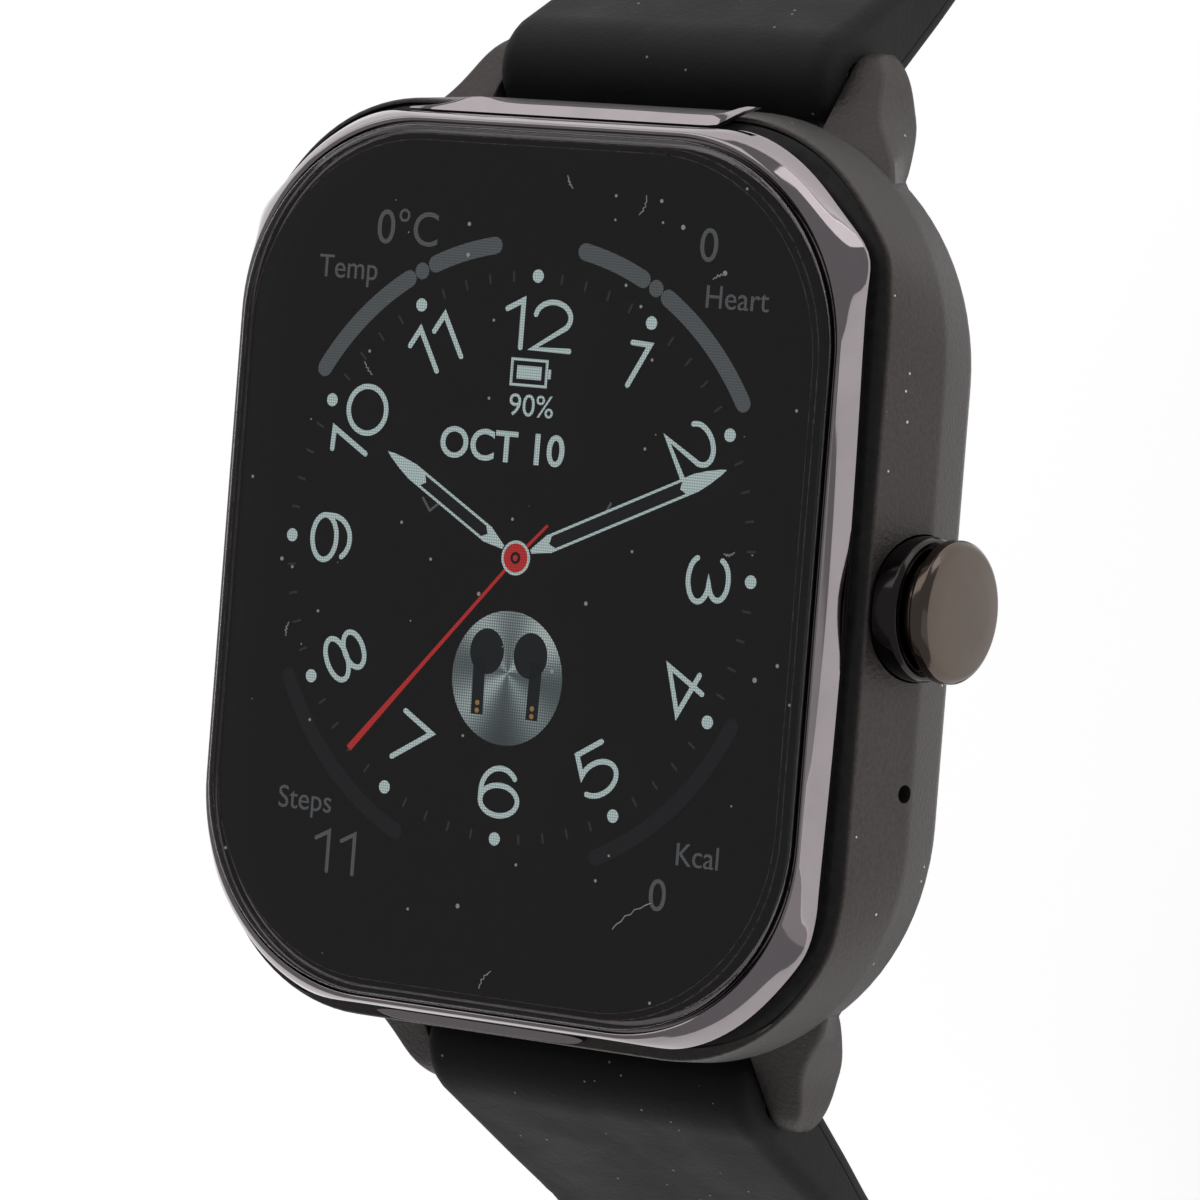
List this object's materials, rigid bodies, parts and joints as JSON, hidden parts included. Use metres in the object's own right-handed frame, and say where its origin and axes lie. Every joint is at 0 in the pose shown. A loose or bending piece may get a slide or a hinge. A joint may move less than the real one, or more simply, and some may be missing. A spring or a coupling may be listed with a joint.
{
  "type": "smartwatch",
  "caption": "Rectangular smartwatch with mirror bezel, matte case, press-and-turn crown and a hinged two-piece silicone strap with keepers and pin buckle.",
  "frame": {"origin": "centre of the flat wrist face of the sensor window in the case back", "axes": "+X to the 3 o'clock (crown) side, +Y to 12 o'clock, +Z out of the display; the strap halves hang towards -Z"},
  "size_m": [0.0425, 0.0915, 0.0975],
  "materials": {
    "glass": "black hard-coated cover glass, polished",
    "mirror": "dark gunmetal electroplated mirror",
    "blast": "warm dark grey, fine bead-blast",
    "black": "black moulded plastic",
    "silicone": "matte black silicone",
    "steel": "bright stainless steel",
    "pcb": "solder-masked board",
    "gold": "gold plated",
    "foil": "foil and tinned sheet",
    "flex": "polyimide flex",
    "led": "green emitter",
    "rubber": "black seal"
  },
  "bodies": {
    "case": {"mid_case": "blast", "bezel_gasket": "rubber", "bezel": "mirror", "bezel_tab_12": "mirror", "bezel_tab_6": "mirror", "cover_glass": "glass", "glass_adhesive": "rubber", "display_panel": "glass", "backlight_unit": "foil", "display_flex": "flex", "inner_frame": "black", "main_pcb": "pcb", "shield_can": "foil", "processor": "black", "battery": "foil", "vibration_motor": "steel", "speaker": "black", "microphone": "foil", "back_cover": "black", "back_screw_1": "steel", "back_screw_2": "steel", "back_screw_3": "steel", "back_screw_4": "steel", "back_gasket": "rubber", "sensor_window": "glass", "sensor_board": "pcb", "sensor_led_a": "led", "sensor_led_b": "led", "photodiode": "black", "charge_pin_a": "gold", "charge_pin_b": "gold", "charge_magnet_a": "steel", "charge_magnet_b": "steel", "crown_collar": "mirror", "crown_switch": "steel"},
    "crown_press": {"crown_follower": "black"},
    "crown": {"crown_cap": "mirror", "crown_shaft": "steel", "crown_oring": "rubber", "crown_clip": "steel"},
    "upper_strap": {"upper_strap": "silicone", "upper_bar_tube": "steel", "keeper_fixed": "silicone", "buckle_bar": "steel"},
    "upper_bar_pin": {"upper_bar_pin": "steel"},
    "keeper_free": {"keeper_free": "silicone"},
    "buckle": {"buckle_frame": "mirror"},
    "tongue": {"buckle_tongue": "mirror"},
    "lower_strap": {"lower_strap": "silicone", "lower_bar_tube": "steel"},
    "lower_bar_pin": {"lower_bar_pin": "steel"}
  },
  "joints": [
    {"name": "crown_press", "type": "slide", "parent": "case", "child": "crown_press", "axis": [-1, 0, 0], "range_m": [0, 0.0006], "stiffness_N_per_m": 2500, "springref_m": -0.0002},
    {"name": "crown_turn", "type": "hinge", "parent": "crown_press", "child": "crown", "pos_m": [0.0193, 0, 0.0054], "axis": [1, 0, 0], "continuous": true},
    {"name": "upper_strap_hinge", "type": "hinge", "parent": "case", "child": "upper_strap", "pos_m": [0, 0.0254, -0.0006], "axis": [1, 0, 0], "range_deg": [-15, 60]},
    {"name": "upper_pin_release", "type": "slide", "parent": "upper_strap", "child": "upper_bar_pin", "axis": [-1, 0, 0], "range_m": [0, 0.0013], "stiffness_N_per_m": 800, "springref_m": -0.0006},
    {"name": "keeper_slide", "type": "slide", "parent": "upper_strap", "child": "keeper_free", "axis": [0, 0, -1], "range_m": [-0.0095, 0.005]},
    {"name": "buckle_hinge", "type": "hinge", "parent": "upper_strap", "child": "buckle", "pos_m": [0, 0.0426, -0.07319], "axis": [1, 0, 0], "range_deg": [-60, 45]},
    {"name": "tongue_hinge", "type": "hinge", "parent": "buckle", "child": "tongue", "pos_m": [0, 0.0426, -0.07319], "axis": [1, 0, 0], "range_deg": [0, 65]},
    {"name": "lower_strap_hinge", "type": "hinge", "parent": "case", "child": "lower_strap", "pos_m": [0, -0.0254, -0.0006], "axis": [-1, 0, 0], "range_deg": [-8, 60]},
    {"name": "lower_pin_release", "type": "slide", "parent": "lower_strap", "child": "lower_bar_pin", "axis": [-1, 0, 0], "range_m": [0, 0.0013], "stiffness_N_per_m": 800, "springref_m": -0.0006}
  ]
}
